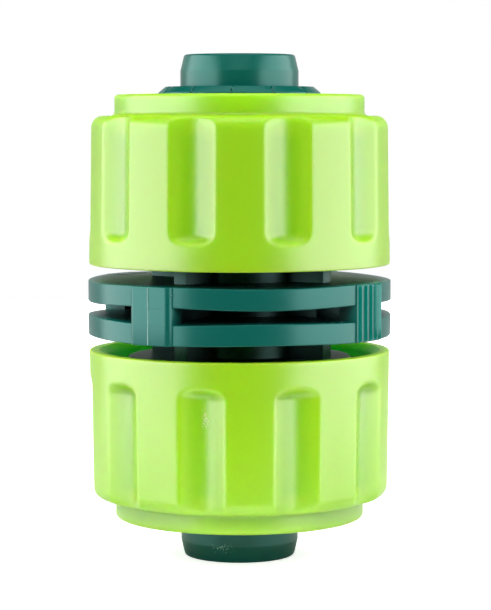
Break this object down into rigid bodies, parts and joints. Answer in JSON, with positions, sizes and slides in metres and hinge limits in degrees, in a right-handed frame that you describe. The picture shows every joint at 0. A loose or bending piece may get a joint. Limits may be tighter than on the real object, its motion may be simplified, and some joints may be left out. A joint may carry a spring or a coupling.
{
  "type": "hose repair connector",
  "caption": "Straight connector that joins two cut ends of a garden hose: a body with a spigot and gripping fingers at each end, and a fluted union nut over each.",
  "frame": {"origin": "middle of the body, on the axis of the hose", "axes": "+Z along the hose axis to the upper spigot, -Y to the front of the pictured view"},
  "size_m": [0.0352, 0.0352, 0.0584],
  "materials": {
    "teal_plastic": "moulded plastic, satin gloss, with a thin flash line where the mould parts",
    "lime_plastic": "moulded plastic, soft satin, slightly translucent"
  },
  "bodies": {
    "body": {"connector_body": "teal_plastic"},
    "upper_nut": {"upper_union_nut": "lime_plastic"},
    "lower_nut": {"lower_union_nut": "lime_plastic"}
  },
  "joints": [
    {"name": "upper_nut_turn", "type": "hinge", "parent": "body", "child": "upper_nut", "pos_m": [0, 0, 0.01478], "axis": [0, 0, 1], "range_deg": [0, 1062]},
    {"name": "lower_nut_turn", "type": "hinge", "parent": "body", "child": "lower_nut", "pos_m": [0, 0, -0.01478], "axis": [0, 0, -1], "range_deg": [0, 1062]}
  ]
}
